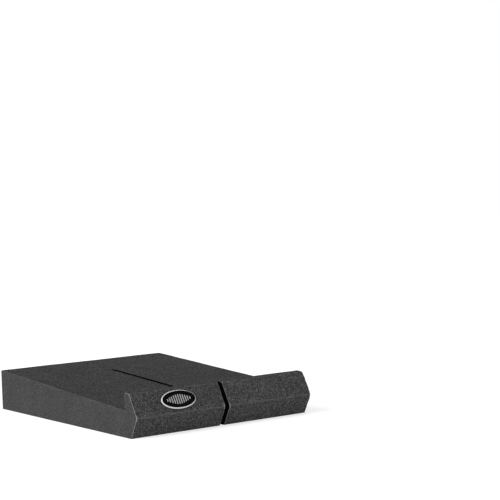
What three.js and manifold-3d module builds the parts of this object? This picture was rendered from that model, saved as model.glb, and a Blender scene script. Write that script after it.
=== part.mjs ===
// A foam isolation pad: a flat-bottomed wedge with a sloped seat, a raised front lip, a nose of two
// bevels and a slot up the middle, and with one oval badge on the left half of its front.
// Millimetres, +X to the right, +Y to the back, +Z up. The origin is the middle of the floor space
// that the pad takes up.

import * as THREE from 'three';
import { mergeVertices } from 'three/addons/utils/BufferGeometryUtils.js';
import Module from 'manifold-3d';

// Foam body, seen from its left end. Lengths are taken back from the front edge of the flat bottom.
const PAD_WIDTH = 248;
const BOTTOM_LENGTH = 340;
const BACK_HEIGHT = 52;
const SEAT_FRONT_HEIGHT = 31;
const SEAT_CORNER_ROUNDING = 2;

// Front lip, which keeps what stands on the seat from sliding forwards
const LIP_HEIGHT = 52;
const LIP_TOP_DEPTH = 9.5;
const LIP_TOP_FALL = 1;
const LIP_TOP_SETBACK = 1.5;

// Nose: two bevels that meet in a rounded crease in front of the bottom's edge
const NOSE_HEIGHT = 24;
const NOSE_REACH = 14;
const NOSE_ROUNDING = 3;
const ROUNDING_STEPS = 8;

// Slot up the middle, right through the foam, with a plain bridge of foam left behind it
const SLOT_WIDTH = 6;
const REAR_BRIDGE = 80;
const SLOT_END_STEPS = 12;
const CUT_OVERRUN = 5;

// Oval badge on the upper bevel of the left half, a little above the bevel's middle: an upright
// edge, a sloping border, a narrow lip and a sunken field
const BADGE_WIDTH = 47;
const BADGE_HEIGHT = 23.5;
const BADGE_EDGE_HEIGHT = 1.2;
const BADGE_ABOVE_MIDDLE = 0.8;
const BADGE_BORDER_WIDTH = 1.3;
const BADGE_BORDER_RISE = 1.2;
const BADGE_LIP_WIDTH = 0.5;
const BADGE_FIELD_DROP = 0.4;
const BADGE_GLUE_GAP = 0.3;
const BADGE_STEPS = 72;

// Plain upright bars moulded on the badge's face, tallest in the middle
const BAR_COUNT = 11;
const BAR_WIDTH = 1.5;
const BAR_PITCH = 3;
const BAR_TALLEST = 12;
const BAR_SHORTEST = 3;
const BAR_RISE = 0.3;
const BAR_ROOT = 1;

// Made from the sizes above
const bottomFront = new THREE.Vector2(0, 0);
const lipTopFront = new THREE.Vector2(LIP_TOP_SETBACK, LIP_HEIGHT - LIP_TOP_FALL);
const lipTopBack = new THREE.Vector2(LIP_TOP_SETBACK + LIP_TOP_DEPTH, LIP_HEIGHT);
const seatFront = new THREE.Vector2(lipTopBack.x, SEAT_FRONT_HEIGHT);
const backTop = new THREE.Vector2(BOTTOM_LENGTH, BACK_HEIGHT);
const noseCorner = new THREE.Vector2(-NOSE_REACH, NOSE_HEIGHT);
const limbWidth = (PAD_WIDTH - SLOT_WIDTH) / 2;

const foamMaterial = new THREE.MeshStandardMaterial({
  name: 'charcoal_foam',
  color: 0x474747,
  roughness: 1,
  metalness: 0,
});
const badgeMaterial = new THREE.MeshStandardMaterial({
  name: 'black_badge',
  color: 0x0a0a0b,
  roughness: 0.35,
  metalness: 0,
});

const wasm = await Module();
wasm.setup();

function toSolid(geometry) {
  const bare = geometry.clone();
  bare.deleteAttribute('normal');
  bare.deleteAttribute('uv');
  const merged = mergeVertices(bare, 1e-4);
  const vertProperties = new Float32Array(merged.attributes.position.array);
  const triVerts = new Uint32Array(merged.index.array);
  return new wasm.Manifold(new wasm.Mesh({ numProp: 3, vertProperties, triVerts }));
}

function toGeometry(solid) {
  const mesh = solid.getMesh();
  const geometry = new THREE.BufferGeometry();
  geometry.setAttribute('position', new THREE.BufferAttribute(mesh.vertProperties, 3));
  geometry.setIndex(new THREE.BufferAttribute(mesh.triVerts, 1));
  geometry.computeVertexNormals();
  return geometry;
}

function pointTowards(from, to, distance) {
  return to.clone().sub(from).setLength(distance).add(from);
}

// Runs the outline on towards a corner, rounds it, and leaves it pointing at what comes next
function roundCorner(outline, before, corner, after, reach) {
  const start = pointTowards(corner, before, reach);
  const end = pointTowards(corner, after, reach);
  outline.lineTo(start.x, start.y);
  outline.quadraticCurveTo(corner.x, corner.y, end.x, end.y);
}

// Side outline of the foam, its x to the back and its y up
function sideOutline() {
  const outline = new THREE.Shape();
  outline.moveTo(bottomFront.x, bottomFront.y);
  outline.lineTo(BOTTOM_LENGTH, 0);
  outline.lineTo(backTop.x, backTop.y);
  roundCorner(outline, backTop, seatFront, lipTopBack, SEAT_CORNER_ROUNDING);
  outline.lineTo(lipTopBack.x, lipTopBack.y);
  outline.lineTo(lipTopFront.x, lipTopFront.y);
  roundCorner(outline, lipTopFront, noseCorner, bottomFront, NOSE_ROUNDING);
  outline.closePath();
  return outline;
}

// The full-width block, before the slot is cut
function foamBlock(outline) {
  const block = new THREE.ExtrudeGeometry(outline, {
    depth: PAD_WIDTH,
    curveSegments: ROUNDING_STEPS,
    bevelEnabled: false,
  });
  const toBack = new THREE.Vector3(0, 1, 0);
  const up = new THREE.Vector3(0, 0, 1);
  const toRight = new THREE.Vector3(1, 0, 0);
  block.applyMatrix4(new THREE.Matrix4().makeBasis(toBack, up, toRight));
  block.translate(-PAD_WIDTH / 2, 0, 0);
  return block;
}

// What the slot takes away: open at the front, round at its rear end
function slotCutter() {
  const radius = SLOT_WIDTH / 2;
  const front = -NOSE_REACH - CUT_OVERRUN;
  const rear = BOTTOM_LENGTH - REAR_BRIDGE - radius;
  const plan = new THREE.Shape();
  plan.moveTo(-radius, front);
  plan.lineTo(radius, front);
  plan.lineTo(radius, rear);
  plan.absarc(0, rear, radius, 0, Math.PI, false);
  plan.closePath();
  const tallest = Math.max(BACK_HEIGHT, LIP_HEIGHT);
  const cutter = new THREE.ExtrudeGeometry(plan, {
    depth: tallest + 2 * CUT_OVERRUN,
    curveSegments: SLOT_END_STEPS,
    bevelEnabled: false,
  });
  cutter.translate(0, 0, -CUT_OVERRUN);
  return cutter;
}

function ovalShape(width, height) {
  const oval = new THREE.Shape();
  oval.absellipse(0, 0, width / 2, height / 2, 0, 2 * Math.PI);
  return oval;
}

// The badge's outer form: upright edge and sloping border. The extrusion slopes at its back too, and
// is cut off there.
function badgeBlank() {
  const inset = 2 * BADGE_BORDER_WIDTH;
  const top = ovalShape(BADGE_WIDTH - inset, BADGE_HEIGHT - inset);
  const sloped = new THREE.ExtrudeGeometry(top, {
    depth: BADGE_EDGE_HEIGHT,
    curveSegments: BADGE_STEPS,
    bevelEnabled: true,
    bevelSize: BADGE_BORDER_WIDTH,
    bevelThickness: BADGE_BORDER_RISE,
    bevelSegments: 1,
  });
  const backCut = new THREE.BoxGeometry(2 * BADGE_WIDTH, 2 * BADGE_HEIGHT, 2 * BADGE_BORDER_RISE);
  backCut.translate(0, 0, -BADGE_BORDER_RISE);
  return toSolid(sloped).subtract(toSolid(backCut));
}

// Badge lying flat, its back on z = 0 and its face up, with the bars standing in the sunken field
function flatBadge() {
  const lipTop = BADGE_EDGE_HEIGHT + BADGE_BORDER_RISE;
  const fieldTop = lipTop - BADGE_FIELD_DROP;
  const inset = 2 * (BADGE_BORDER_WIDTH + BADGE_LIP_WIDTH);
  const field = new THREE.ExtrudeGeometry(ovalShape(BADGE_WIDTH - inset, BADGE_HEIGHT - inset), {
    depth: BADGE_FIELD_DROP + CUT_OVERRUN,
    curveSegments: BADGE_STEPS,
    bevelEnabled: false,
  });
  field.translate(0, 0, fieldTop);
  let badge = badgeBlank().subtract(toSolid(field));
  const middle = (BAR_COUNT - 1) / 2;
  for (let i = 0; i < BAR_COUNT; i += 1) {
    const fromMiddle = (i - middle) / middle;
    const length = BAR_SHORTEST + (BAR_TALLEST - BAR_SHORTEST) * Math.cos(fromMiddle * Math.PI / 2);
    const bar = new THREE.BoxGeometry(BAR_WIDTH, length, BAR_RISE + BAR_ROOT);
    bar.translate((i - middle) * BAR_PITCH, 0, fieldTop + (BAR_RISE - BAR_ROOT) / 2);
    badge = badge.add(toSolid(bar));
  }
  return toGeometry(badge);
}

const foamPad = new THREE.Mesh(
  toGeometry(toSolid(foamBlock(sideOutline())).subtract(toSolid(slotCutter()))),
  foamMaterial,
);
foamPad.name = 'foam_pad';

// The badge's seat turns its face to the upper bevel's outward normal, with its length along X
const bevel = lipTopFront.clone().sub(noseCorner).normalize();
const bevelUp = new THREE.Vector3(0, bevel.x, bevel.y);
const alongPad = new THREE.Vector3(1, 0, 0);
const bevelOut = new THREE.Vector3().crossVectors(alongPad, bevelUp);
const bevelMiddle = noseCorner.clone().add(lipTopFront).multiplyScalar(0.5);

const badgeSeat = new THREE.Group();
badgeSeat.position.set(-SLOT_WIDTH / 2 - limbWidth / 2, bevelMiddle.x, bevelMiddle.y);
badgeSeat.quaternion.setFromRotationMatrix(new THREE.Matrix4().makeBasis(alongPad, bevelUp, bevelOut));

const badge = new THREE.Mesh(flatBadge(), badgeMaterial);
badge.name = 'oval_badge';
badge.position.set(0, BADGE_ABOVE_MIDDLE, BADGE_GLUE_GAP);
badgeSeat.add(badge);

const pad = new THREE.Group();
pad.add(foamPad, badgeSeat);
const floorSpace = new THREE.Box3().setFromObject(pad, true);
pad.position.y = -(floorSpace.min.y + floorSpace.max.y) / 2;

export default pad;
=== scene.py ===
import math

import bmesh
import bpy
import numpy as np
from mathutils import Matrix, Vector, geometry, noise


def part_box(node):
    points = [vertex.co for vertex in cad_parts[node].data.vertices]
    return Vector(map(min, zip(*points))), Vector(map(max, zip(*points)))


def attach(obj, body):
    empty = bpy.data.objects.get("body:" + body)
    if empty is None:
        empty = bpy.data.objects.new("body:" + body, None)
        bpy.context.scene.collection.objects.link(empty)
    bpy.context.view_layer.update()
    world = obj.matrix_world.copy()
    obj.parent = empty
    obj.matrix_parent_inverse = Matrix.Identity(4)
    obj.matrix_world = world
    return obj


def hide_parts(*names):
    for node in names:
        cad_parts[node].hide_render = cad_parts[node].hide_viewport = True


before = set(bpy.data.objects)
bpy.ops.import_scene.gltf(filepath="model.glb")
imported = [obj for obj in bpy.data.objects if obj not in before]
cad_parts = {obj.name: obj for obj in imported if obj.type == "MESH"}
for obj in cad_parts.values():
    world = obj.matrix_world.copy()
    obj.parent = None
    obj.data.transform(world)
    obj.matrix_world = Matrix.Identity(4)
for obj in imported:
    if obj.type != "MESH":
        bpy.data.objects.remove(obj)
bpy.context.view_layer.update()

# Camera
# It stands low, to the left of the pad's front, and looks along the floor with a long lens,
# so that the pad lies low in the picture's left half.
CAMERA_PLACE = (-0.87036, -1.46092, 0.25537)
CAMERA_TURN_DEGREES = (88.195, 2.246, -35.438)
LENS_MM = 95.4
SENSOR_MM = 36

camera_data = bpy.data.cameras.new("camera")
camera_data.lens = LENS_MM
camera_data.sensor_width = SENSOR_MM
camera = bpy.data.objects.new("camera", camera_data)
camera.location = CAMERA_PLACE
camera.rotation_euler = [math.radians(angle) for angle in CAMERA_TURN_DEGREES]
bpy.context.scene.collection.objects.link(camera)
bpy.context.scene.camera = camera

# Floor, backdrop and studio light
# A plain white floor runs out to a white backdrop, and both glow a little where the lens sees
# them. A broad soft light stands on the left, and a weaker one low in front.
FLOOR_HALF = 12.0
FLOOR_ALBEDO = 0.92
FLOOR_GLOW = 0.6
WORLD_STRENGTH = 0.35
KEY_STRENGTH = 1.9
KEY_TOWARDS = (-0.90, 0.08, 0.42)
KEY_SOFTNESS_DEGREES = 50
FRONT_STRENGTH = 1.2
FRONT_TOWARDS = (-0.10, -0.99, 0.03)
FRONT_SOFTNESS_DEGREES = 12


def new_material(name):
    material = bpy.data.materials.new(name)
    material.use_nodes = True
    return material, material.node_tree.nodes, material.node_tree.links


def seen_ray(nodes, links):
    """1 for what the lens sees straight, in metal or through glass, and 0 for the light itself."""
    path = nodes.new("ShaderNodeLightPath")
    seen = path.outputs["Is Camera Ray"]
    for ray in ("Is Glossy Ray", "Is Transmission Ray"):
        either = nodes.new("ShaderNodeMath")
        either.operation = "MAXIMUM"
        links.new(seen, either.inputs[0])
        links.new(path.outputs[ray], either.inputs[1])
        seen = either.outputs[0]
    return seen


floor_mesh = bpy.data.meshes.new("floor")
floor_corners = [(x * FLOOR_HALF, y * FLOOR_HALF, 0) for x, y in ((-1, -1), (1, -1), (1, 1), (-1, 1))]
floor_mesh.from_pydata(floor_corners, [], [(0, 1, 2, 3)])
floor = bpy.data.objects.new("floor", floor_mesh)
bpy.context.scene.collection.objects.link(floor)
floor_material, nodes, links = new_material("white_floor")
surface = nodes["Principled BSDF"]
surface.inputs["Base Color"].default_value = (FLOOR_ALBEDO, FLOOR_ALBEDO, FLOOR_ALBEDO, 1)
surface.inputs["Roughness"].default_value = 1
surface.inputs["Specular IOR Level"].default_value = 0
surface.inputs["Emission Color"].default_value = (1, 1, 1, 1)
glow = nodes.new("ShaderNodeMath")
glow.operation = "MULTIPLY"
glow.inputs[1].default_value = FLOOR_GLOW
links.new(seen_ray(nodes, links), glow.inputs[0])
links.new(glow.outputs[0], surface.inputs["Emission Strength"])
floor_mesh.materials.append(floor_material)

world = bpy.data.worlds.new("studio")
world.use_nodes = True
nodes, links = world.node_tree.nodes, world.node_tree.links
strength = nodes.new("ShaderNodeMapRange")
strength.inputs["To Min"].default_value = WORLD_STRENGTH
strength.inputs["To Max"].default_value = 1
links.new(seen_ray(nodes, links), strength.inputs["Value"])
nodes["Background"].inputs["Color"].default_value = (1, 1, 1, 1)
links.new(strength.outputs["Result"], nodes["Background"].inputs["Strength"])
bpy.context.scene.world = world
bpy.context.scene.view_settings.view_transform = "Standard"


def soft_light(name, towards, strength, softness_degrees):
    light_data = bpy.data.lights.new(name, "SUN")
    light_data.angle = math.radians(softness_degrees)
    light_data.energy = strength
    light = bpy.data.objects.new(name, light_data)
    light.rotation_euler = Vector(towards).to_track_quat("Z", "Y").to_euler()
    bpy.context.scene.collection.objects.link(light)


soft_light("key_light", KEY_TOWARDS, KEY_STRENGTH, KEY_SOFTNESS_DEGREES)
soft_light("front_light", FRONT_TOWARDS, FRONT_STRENGTH, FRONT_SOFTNESS_DEGREES)

# Foam block
# One block of charcoal open-cell polyurethane foam, cut to its side outline by a profile blade and
# slotted from the front. Its faces are the open cut cells, and its edges are crisp and a little frayed,
# with a painted highlight along them where loose struts would catch the light.
SAME_POINT = 1e-6
FLAT_DEGREES = 0.1
SHARP_DEGREES = 35
FACET = 0.0020
GRID_MARGIN = 0.45
EDGE_ROW = 0.0006
EDGE_ROW_SLACK = 0.95
FILL_INSIDE = 1
FILL_TOLERANCE = 1e-9
EDGE_EASE = 0.5
FRONT_DEPTH = 0.026
# Amounts of real fray and of painted highlight on the front's edges, the other edges and the nose's
# crease
FRONT_EDGE_FRAY_AND_HIGHLIGHT = 1.0
OTHER_EDGE_FRAY_AND_HIGHLIGHT = 0.2
CREASE_FRAY_AND_HIGHLIGHT = 0.12
SLOT_HALF = 0.003
SLOT_SLACK = 1.01
# A hair under the bridge's 80 mm, so that the slot's round end counts as its wall
REAR_BRIDGE = 0.0799
# The share of a face's normal along X, Y or Z that counts as looking sideways, to an end or
# forwards, and the most of it along Z on an upright face
SIDEWAYS = 0.5
ENDWAYS = 0.9
FORWARDS = 0.99
UPRIGHT = 0.1
WAVE_LENGTH = 0.050
WAVE_HEIGHT = 0.00030
CRUMB_LENGTH = 0.0030
CRUMB_HEIGHT = 0.00012
FRAY_HEIGHT = 0.00025


def merged_copy(node):
    """A CAD node's shape with its doubled points merged and its flat faces whole."""
    block = bmesh.new()
    block.from_mesh(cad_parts[node].data)
    bmesh.ops.remove_doubles(block, verts=block.verts, dist=SAME_POINT)
    flat = math.radians(FLAT_DEGREES)
    bmesh.ops.dissolve_limit(block, angle_limit=flat, verts=block.verts, edges=block.edges)
    return block


def divided_side(start, end):
    """Points from start up to end, end left out, the same ones whichever way the side is walked."""
    steps = max(1, round((end - start).length / FACET))
    return [start.lerp(end, step / steps) for step in range(steps)]


def honeycomb(low, high):
    """Points of a triangular grid over a flat box."""
    row_gap = FACET * math.sqrt(3) / 2
    rows = []
    for row in range(int((high[1] - low[1]) / row_gap) + 1):
        across = np.arange(low[0] + FACET / 2 * (row % 2), high[0], FACET)
        rows.append(np.column_stack([across, np.full(len(across), low[1] + row * row_gap)]))
    return np.concatenate(rows)


def distance_inside(points, corners):
    """How far each flat point lies inside an outline, and below 0 outside it."""
    nearest = np.full(len(points), np.inf)
    inside = np.zeros(len(points), bool)
    for start, end in zip(corners, np.roll(corners, -1, axis=0)):
        side = end - start
        share = np.clip((points - start) @ side / (side @ side), 0, 1)
        nearest = np.minimum(nearest, np.linalg.norm(points - start - share[:, None] * side, axis=1))
        if start[1] != end[1]:
            spans = (points[:, 1] < start[1]) != (points[:, 1] < end[1])
            crossing = start[0] + (points[:, 1] - start[1]) / side[1] * side[0]
            inside ^= spans & (points[:, 0] < crossing)
    return np.where(inside, nearest, -nearest)


def triangulated_face(face, into):
    """Fills one flat face with small even triangles, with a close row of points along its edges."""
    corners = [vertex.co.copy() for vertex in face.verts]
    normal = face.normal.copy()
    up = normal.cross(corners[1] - corners[0]).normalized()
    right = up.cross(normal)
    middle = corners[0]

    def flat(point):
        return np.array([(point - middle).dot(right), (point - middle).dot(up)])

    flat_corners = np.array([flat(corner) for corner in corners])
    border = []
    close_row = []
    for start, end in zip(corners, corners[1:] + corners[:1]):
        side = [flat(point) for point in divided_side(start, end)]
        along = (flat(end) - flat(start)) / np.linalg.norm(flat(end) - flat(start))
        border += side
        close_row += [point + EDGE_ROW * np.array([-along[1], along[0]]) for point in side]
    close_row = np.array(close_row)
    close_row = close_row[distance_inside(close_row, flat_corners) > EDGE_ROW * EDGE_ROW_SLACK]
    grid = honeycomb(flat_corners.min(0), flat_corners.max(0))
    grid = grid[distance_inside(grid, flat_corners) > EDGE_ROW + FACET * GRID_MARGIN]
    all_points = [Vector(point) for point in (*border, *close_row, *grid)]
    loop = list(range(len(border)))
    filled = geometry.delaunay_2d_cdt(all_points, [], [loop], FILL_INSIDE, FILL_TOLERANCE)
    flat_points, _, triangles, *_ = filled
    made = [into.verts.new(middle + right * point.x + up * point.y) for point in flat_points]
    for triangle in triangles:
        into.faces.new([made[index] for index in triangle])


outline = merged_copy("foam_pad")
foam = bmesh.new()
for face in outline.faces:
    triangulated_face(face, foam)
outline.free()
bmesh.ops.remove_doubles(foam, verts=foam.verts, dist=2 * SAME_POINT)
bmesh.ops.recalc_face_normals(foam, faces=foam.faces)
foam.verts.index_update()
foam.normal_update()

# How frayed each point is, and how much painted highlight it gets: 1 on the edges of the front's ends
# and of the slot's mouth, less on the other edges and the nose's crease, and 0 on the faces
front_reach = min(vertex.co.y for vertex in foam.verts) + FRONT_DEPTH
edge_fray_and_highlight = np.zeros(len(foam.verts))
for edge in foam.edges:
    if edge.is_convex and edge.calc_face_angle() > math.radians(SHARP_DEGREES):
        across = max(abs(face.normal.x) for face in edge.link_faces)
        at_front = edge.verts[0].co.y < front_reach
        fray_and_highlight = FRONT_EDGE_FRAY_AND_HIGHLIGHT if across > SIDEWAYS and at_front else OTHER_EDGE_FRAY_AND_HIGHLIGHT
        for vertex in edge.verts:
            on_floor = vertex.co.z < EDGE_ROW / 2
            edge_fray_and_highlight[vertex.index] = max(edge_fray_and_highlight[vertex.index], 0 if on_floor else fray_and_highlight)
# The nose's crease gets a little painted highlight, along with a little fray
for vertex in foam.verts:
    if vertex.normal.y < -FORWARDS:
        edge_fray_and_highlight[vertex.index] = max(edge_fray_and_highlight[vertex.index], CREASE_FRAY_AND_HIGHLIGHT)

# The slot's walls, which get painted shade where little light gets in, and the two ends, sawn smoother
bridge_front = max(vertex.co.y for vertex in foam.verts) - REAR_BRIDGE
slot_wall_shade = []
end_face = []
for face in foam.faces:
    middle = face.calc_center_median()
    upright = abs(face.normal.z) < UPRIGHT
    in_slot = abs(middle.x) < SLOT_HALF * SLOT_SLACK and middle.y < bridge_front
    slot_wall_shade.append(float(upright and in_slot))
    end_face.append(float(abs(face.normal.x) > ENDWAYS))

# Worn edges are eased, and every point then moves with a broad waver of the cut and its fine crumbs.
# The bottom stays flat on the floor.
moved = []
for vertex in foam.verts:
    fray_and_highlight = edge_fray_and_highlight[vertex.index]
    place = vertex.co.copy()
    if fray_and_highlight:
        neighbours = [edge.other_vert(vertex).co for edge in vertex.link_edges]
        place = place.lerp(sum(neighbours, Vector()) / len(neighbours), EDGE_EASE)
    lift = WAVE_HEIGHT * noise.noise(vertex.co / WAVE_LENGTH)
    lift += (CRUMB_HEIGHT + FRAY_HEIGHT * fray_and_highlight) * noise.noise(vertex.co / CRUMB_LENGTH)
    moved.append(place + vertex.normal * lift)
for vertex, place in zip(foam.verts, moved):
    on_floor = vertex.co.z < EDGE_ROW / 2
    vertex.co = place
    if on_floor or place.z < 0:
        vertex.co.z = 0

mesh = bpy.data.meshes.new("foam_block")
foam.to_mesh(mesh)
foam.free()
mesh.attributes.new("edge_fray_and_highlight", "FLOAT", "POINT").data.foreach_set("value", edge_fray_and_highlight)
mesh.attributes.new("slot_wall_shade", "FLOAT", "FACE").data.foreach_set("value", slot_wall_shade)
mesh.attributes.new("end_face", "FLOAT", "FACE").data.foreach_set("value", end_face)
mesh.shade_smooth()
mesh.set_sharp_from_angle(angle=math.radians(SHARP_DEGREES))
foam_block = bpy.data.objects.new("foam_block", mesh)
bpy.context.scene.collection.objects.link(foam_block)

PORE_SIZE = 0.0011
PORE_DEPTH = 0.0004
PORE_SPAN = (0.10, 0.80)
CELL_SPREAD = (0.2, 1.8)
END_SMOOTHNESS = 0.6
STRUT_GREY = 0.125
PORE_GREY = 0.004
MEAN_GREY = 0.074
# Grey of the painted highlight along the edges and the nose's crease
EDGE_HIGHLIGHT_GREY = 0.36
# Near-black painted shade on the slot's walls
SLOT_SHADE_GREY = 0.003
BLOTCH_SIZE = 0.03
BLOTCH_DETAIL = 4
BLOTCH_NOISE = (0.3, 0.7)
BLOTCH_SPREAD = (0.92, 1.08)

foam_material, nodes, links = new_material("charcoal_foam")
surface = nodes["Principled BSDF"]
surface.inputs["Roughness"].default_value = 1
surface.inputs["Specular IOR Level"].default_value = 0.03
place = nodes.new("ShaderNodeTexCoord")
cells = nodes.new("ShaderNodeTexVoronoi")
cells.inputs["Scale"].default_value = 1 / PORE_SIZE
links.new(place.outputs["Object"], cells.inputs["Vector"])
pore = nodes.new("ShaderNodeValToRGB")
pore.color_ramp.elements[0].position = PORE_SPAN[0]
pore.color_ramp.elements[0].color = (PORE_GREY, PORE_GREY, PORE_GREY, 1)
pore.color_ramp.elements[1].position = PORE_SPAN[1]
pore.color_ramp.elements[1].color = (STRUT_GREY, STRUT_GREY, STRUT_GREY, 1)
links.new(cells.outputs["Distance"], pore.inputs["Fac"])

blotch = nodes.new("ShaderNodeTexNoise")
blotch.inputs["Scale"].default_value = 1 / BLOTCH_SIZE
blotch.inputs["Detail"].default_value = BLOTCH_DETAIL
links.new(place.outputs["Object"], blotch.inputs["Vector"])
blotch_range = nodes.new("ShaderNodeMapRange")
blotch_range.inputs["From Min"].default_value = BLOTCH_NOISE[0]
blotch_range.inputs["From Max"].default_value = BLOTCH_NOISE[1]
blotch_range.inputs["To Min"].default_value = BLOTCH_SPREAD[0]
blotch_range.inputs["To Max"].default_value = BLOTCH_SPREAD[1]
links.new(blotch.outputs["Fac"], blotch_range.inputs["Value"])
one_cell = nodes.new("ShaderNodeMapRange")
one_cell.inputs["To Min"].default_value = CELL_SPREAD[0]
one_cell.inputs["To Max"].default_value = CELL_SPREAD[1]
links.new(cells.outputs["Color"], one_cell.inputs["Value"])
at_end = nodes.new("ShaderNodeAttribute")
at_end.attribute_name = "end_face"
smoothness = nodes.new("ShaderNodeMath")
smoothness.operation = "MULTIPLY"
smoothness.inputs[1].default_value = END_SMOOTHNESS
links.new(at_end.outputs["Fac"], smoothness.inputs[0])
one_pore = nodes.new("ShaderNodeMath")
one_pore.operation = "MULTIPLY"
links.new(pore.outputs["Color"], one_pore.inputs[0])
links.new(one_cell.outputs["Result"], one_pore.inputs[1])
smoothed = nodes.new("ShaderNodeMix")
smoothed.inputs["B"].default_value = MEAN_GREY
links.new(smoothness.outputs[0], smoothed.inputs["Factor"])
links.new(one_pore.outputs[0], smoothed.inputs["A"])
varied = nodes.new("ShaderNodeMath")
varied.operation = "MULTIPLY"
links.new(smoothed.outputs["Result"], varied.inputs[0])
links.new(blotch_range.outputs["Result"], varied.inputs[1])

# Painted highlight: the edges and the crease are made paler where light would catch them
highlight_share = nodes.new("ShaderNodeAttribute")
highlight_share.attribute_name = "edge_fray_and_highlight"
highlighted = nodes.new("ShaderNodeMix")
highlighted.data_type = "RGBA"
highlighted.inputs["B"].default_value = (EDGE_HIGHLIGHT_GREY, EDGE_HIGHLIGHT_GREY, EDGE_HIGHLIGHT_GREY, 1)
links.new(highlight_share.outputs["Fac"], highlighted.inputs["Factor"])
links.new(varied.outputs[0], highlighted.inputs["A"])
# Painted shade: the slot's walls are made near black
in_slot = nodes.new("ShaderNodeAttribute")
in_slot.attribute_name = "slot_wall_shade"
slot_shaded = nodes.new("ShaderNodeMix")
slot_shaded.data_type = "RGBA"
slot_shaded.inputs["B"].default_value = (SLOT_SHADE_GREY, SLOT_SHADE_GREY, SLOT_SHADE_GREY, 1)
links.new(in_slot.outputs["Fac"], slot_shaded.inputs["Factor"])
links.new(highlighted.outputs["Result"], slot_shaded.inputs["A"])
links.new(slot_shaded.outputs["Result"], surface.inputs["Base Color"])

bump = nodes.new("ShaderNodeBump")
bump.inputs["Distance"].default_value = PORE_DEPTH
links.new(cells.outputs["Distance"], bump.inputs["Height"])
links.new(bump.outputs["Normal"], surface.inputs["Normal"])
mesh.materials.append(foam_material)

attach(foam_block, "root")
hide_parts("foam_pad")

# Badge plate
# An oval plate of black moulded plastic, glued to the upper bevel of the left half. Its sloping
# border is painted silver, and its black field is sunk a little and faintly domed.
BOTTOM_LENGTH = 0.340
NOSE_CORNER = (-0.014, 0.024)
LIP_TOP_FRONT = (0.0015, 0.051)
GLUE_GAP = 0.0003
BADGE_WIDTH = 0.047
BADGE_HEIGHT = 0.0235
EDGE_HEIGHT = 0.0012
ABOVE_MIDDLE = 0.0008
BORDER_WIDTH = 0.0013
BORDER_RISE = 0.0012
LIP_WIDTH = 0.0005
FIELD_DROP = 0.0004
FIELD_DOME = 0.0002
EDGE_ROUND = 0.00012
OVAL_STEPS = 160
DOME_STEPS = 8
PLASTIC_GREYS = (0.001, 0.002)
PLASTIC_GRAIN = 0.0010
PAINT_GREYS = (0.60, 0.74)
PAINT_GRAIN = 0.0004
GRAIN_STRENGTH = 0.2
GRAIN_DEPTH = 0.05

badge_low, badge_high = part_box("oval_badge")
bottom_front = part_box("foam_pad")[1].y - BOTTOM_LENGTH
badge_right = Vector((1, 0, 0))
badge_up = Vector((0, LIP_TOP_FRONT[0] - NOSE_CORNER[0], LIP_TOP_FRONT[1] - NOSE_CORNER[1])).normalized()
badge_out = badge_right.cross(badge_up)
badge_back = Vector((
    (badge_low.x + badge_high.x) / 2,
    bottom_front + (NOSE_CORNER[0] + LIP_TOP_FRONT[0]) / 2,
    (NOSE_CORNER[1] + LIP_TOP_FRONT[1]) / 2,
)) + badge_up * ABOVE_MIDDLE + badge_out * GLUE_GAP
badge_turn = Matrix((badge_right, badge_up, badge_out)).transposed()
badge_place = Matrix.Translation(badge_back) @ badge_turn.to_4x4()
border_top = EDGE_HEIGHT + BORDER_RISE
field_top = border_top - FIELD_DROP
field_inset = BORDER_WIDTH + LIP_WIDTH


def inset_ring(inset, height):
    return BADGE_WIDTH / 2 - inset, BADGE_HEIGHT / 2 - inset, height


def field_ring(share):
    across, upright, _ = inset_ring(field_inset, 0)
    return across * share, upright * share, field_top + FIELD_DOME * (1 - share ** 2)


# The silver covers the border's slope and the rounding at its top, the faces from ring 3 to ring 5
SILVER_RINGS = range(3, 5)
border_rings = [
    inset_ring(EDGE_ROUND, 0),
    inset_ring(0, EDGE_ROUND),
    inset_ring(0, EDGE_HEIGHT - EDGE_ROUND),
    inset_ring(EDGE_ROUND, EDGE_HEIGHT + EDGE_ROUND),
    inset_ring(BORDER_WIDTH - EDGE_ROUND, border_top - EDGE_ROUND),
    inset_ring(BORDER_WIDTH + EDGE_ROUND, border_top),
    inset_ring(field_inset - EDGE_ROUND, border_top),
    inset_ring(field_inset, border_top - EDGE_ROUND),
]
field_rings = [field_ring(1 - step / DOME_STEPS) for step in range(DOME_STEPS)]

plate = bmesh.new()
loops = []
for across, upright, height in border_rings + field_rings:
    angles = [2 * math.pi * step / OVAL_STEPS for step in range(OVAL_STEPS)]
    loops.append([plate.verts.new((across * math.cos(a), upright * math.sin(a), height)) for a in angles])
for ring, (outer, inner) in enumerate(zip(loops, loops[1:])):
    for step in range(OVAL_STEPS):
        after = (step + 1) % OVAL_STEPS
        face = plate.faces.new((outer[step], outer[after], inner[after], inner[step]))
        face.material_index = 1 if ring in SILVER_RINGS else 0
for loop, height in ((loops[0], 0), (loops[-1], field_top + FIELD_DOME)):
    centre = plate.verts.new((0, 0, height))
    for step in range(OVAL_STEPS):
        plate.faces.new((loop[step], loop[(step + 1) % OVAL_STEPS], centre))
bmesh.ops.recalc_face_normals(plate, faces=plate.faces)
mesh = bpy.data.meshes.new("badge_plate")
plate.to_mesh(mesh)
plate.free()
mesh.transform(badge_place)
mesh.shade_smooth()
mesh.set_sharp_from_angle(angle=math.radians(SHARP_DEGREES))
badge_plate = bpy.data.objects.new("badge_plate", mesh)
bpy.context.scene.collection.objects.link(badge_plate)


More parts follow.
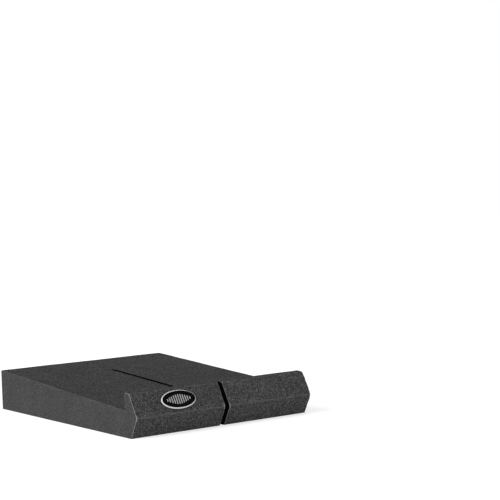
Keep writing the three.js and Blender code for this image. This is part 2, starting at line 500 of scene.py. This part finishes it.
def speckled(name, greys, grain_size, roughness, metallic, specular):
    """A material whose grey wavers between two values in a fine grain."""
    material, nodes, links = new_material(name)
    surface = nodes["Principled BSDF"]
    surface.inputs["Roughness"].default_value = roughness
    surface.inputs["Metallic"].default_value = metallic
    surface.inputs["Specular IOR Level"].default_value = specular
    place = nodes.new("ShaderNodeTexCoord")
    grain = nodes.new("ShaderNodeTexNoise")
    grain.inputs["Scale"].default_value = 1 / grain_size
    links.new(place.outputs["Object"], grain.inputs["Vector"])
    shade = nodes.new("ShaderNodeMapRange")
    shade.inputs["To Min"].default_value = greys[0]
    shade.inputs["To Max"].default_value = greys[1]
    links.new(grain.outputs["Fac"], shade.inputs["Value"])
    links.new(shade.outputs["Result"], surface.inputs["Base Color"])
    bump = nodes.new("ShaderNodeBump")
    bump.inputs["Strength"].default_value = GRAIN_STRENGTH
    bump.inputs["Distance"].default_value = grain_size * GRAIN_DEPTH
    links.new(grain.outputs["Fac"], bump.inputs["Height"])
    links.new(bump.outputs["Normal"], surface.inputs["Normal"])
    return material


mesh.materials.append(speckled(
    "black_satin_plastic", PLASTIC_GREYS, PLASTIC_GRAIN, roughness=0.45, metallic=0.0, specular=0.03,
))
mesh.materials.append(speckled(
    "silver_paint", PAINT_GREYS, PAINT_GRAIN, roughness=0.45, metallic=0.1, specular=0.3,
))
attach(badge_plate, "root")
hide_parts("oval_badge")

# Badge bars
# Plain upright bars are moulded on the field and stand a little proud of it, tallest in the middle.
# They are printed in a duller silver than the border.
BAR_COUNT = 11
BAR_WIDTH = 0.0015
BAR_PITCH = 0.003
BAR_TALLEST = 0.012
BAR_SHORTEST = 0.003
BAR_RISE = 0.0003
BAR_ROOT = 0.001
BAR_ROUND = 0.00020
BAR_ROUND_STEPS = 3
PRINT_GREYS = (0.36, 0.44)
PRINT_GRAIN = 0.0004

bar_tree = bpy.data.node_groups.new("bar_row", "GeometryNodeTree")
bar_tree.interface.new_socket("Geometry", in_out="OUTPUT", socket_type="NodeSocketGeometry")
bar_tree.interface.new_socket("Count", in_out="INPUT", socket_type="NodeSocketInt")
for socket_name in ("Pitch", "Bar Width", "Tallest", "Shortest", "Bar Depth"):
    bar_tree.interface.new_socket(socket_name, in_out="INPUT", socket_type="NodeSocketFloat")
bar_tree.interface.new_socket("Material", in_out="INPUT", socket_type="NodeSocketMaterial")
nodes, links = bar_tree.nodes, bar_tree.links
given = nodes.new("NodeGroupInput").outputs


def worked_out(operation, *terms):
    """A Math node on sockets or plain numbers, and its result."""
    node = nodes.new("ShaderNodeMath")
    node.operation = operation
    for slot, term in enumerate(terms):
        if isinstance(term, (int, float)):
            node.inputs[slot].default_value = term
        else:
            links.new(term, node.inputs[slot])
    return node.outputs[0]


def joined(**parts):
    """A Combine XYZ node with the named parts linked in, and its vector."""
    node = nodes.new("ShaderNodeCombineXYZ")
    for axis, socket in parts.items():
        links.new(socket, node.inputs[axis])
    return node.outputs[0]


# A row of bars centred on the badge, whose lengths follow half a wave of a cosine
gaps = worked_out("SUBTRACT", given["Count"], 1.0)
row_start = worked_out("MULTIPLY", worked_out("MULTIPLY", gaps, given["Pitch"]), -0.5)
row = nodes.new("GeometryNodeMeshLine")
row.mode = "OFFSET"
links.new(given["Count"], row.inputs["Count"])
links.new(joined(X=row_start), row.inputs["Start Location"])
links.new(joined(X=given["Pitch"]), row.inputs["Offset"])
share = worked_out("DIVIDE", nodes.new("GeometryNodeInputIndex").outputs[0], gaps)
phase = worked_out("MULTIPLY", worked_out("SUBTRACT", share, 0.5), math.pi)
spread = worked_out("SUBTRACT", given["Tallest"], given["Shortest"])
bulge = worked_out("MULTIPLY", worked_out("COSINE", phase), spread)
bar_length = worked_out("ADD", bulge, given["Shortest"])
bar = nodes.new("GeometryNodeMeshCube")
bar.inputs["Size"].default_value = (1, 1, 1)
place_bars = nodes.new("GeometryNodeInstanceOnPoints")
links.new(row.outputs["Mesh"], place_bars.inputs["Points"])
links.new(bar.outputs["Mesh"], place_bars.inputs["Instance"])
links.new(joined(X=given["Bar Width"], Y=bar_length, Z=given["Bar Depth"]), place_bars.inputs["Scale"])
realize = nodes.new("GeometryNodeRealizeInstances")
links.new(place_bars.outputs["Instances"], realize.inputs["Geometry"])
paint = nodes.new("GeometryNodeSetMaterial")
links.new(realize.outputs["Geometry"], paint.inputs["Geometry"])
links.new(given["Material"], paint.inputs["Material"])
links.new(paint.outputs["Geometry"], nodes.new("NodeGroupOutput").inputs[0])


def finished(piece):
    """The piece with its modifiers' result as its own plain mesh."""
    graph = bpy.context.evaluated_depsgraph_get()
    result = bpy.data.meshes.new_from_object(piece.evaluated_get(graph))
    piece.modifiers.clear()
    piece.data = result


silver_print = speckled(
    "silver_print", PRINT_GREYS, PRINT_GRAIN, roughness=0.55, metallic=0.0, specular=0.3,
)
bar_values = {
    "Count": BAR_COUNT,
    "Pitch": BAR_PITCH,
    "Bar Width": BAR_WIDTH,
    "Tallest": BAR_TALLEST,
    "Shortest": BAR_SHORTEST,
    "Bar Depth": BAR_RISE + BAR_ROOT,
    "Material": silver_print,
}
badge_bars = bpy.data.objects.new("badge_bars", bpy.data.meshes.new("badge_bars"))
bpy.context.scene.collection.objects.link(badge_bars)
growth = badge_bars.modifiers.new("bar_row", "NODES")
growth.node_group = bar_tree
for item in bar_tree.interface.items_tree:
    if item.in_out == "INPUT":
        growth[item.identifier] = bar_values[item.name]
eased = badge_bars.modifiers.new("eased_edges", "BEVEL")
eased.width = BAR_ROUND
eased.segments = BAR_ROUND_STEPS
finished(badge_bars)
bar_middle = field_top + (BAR_RISE - BAR_ROOT) / 2
badge_bars.data.transform(badge_place @ Matrix.Translation((0, 0, bar_middle)))
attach(badge_bars, "root")
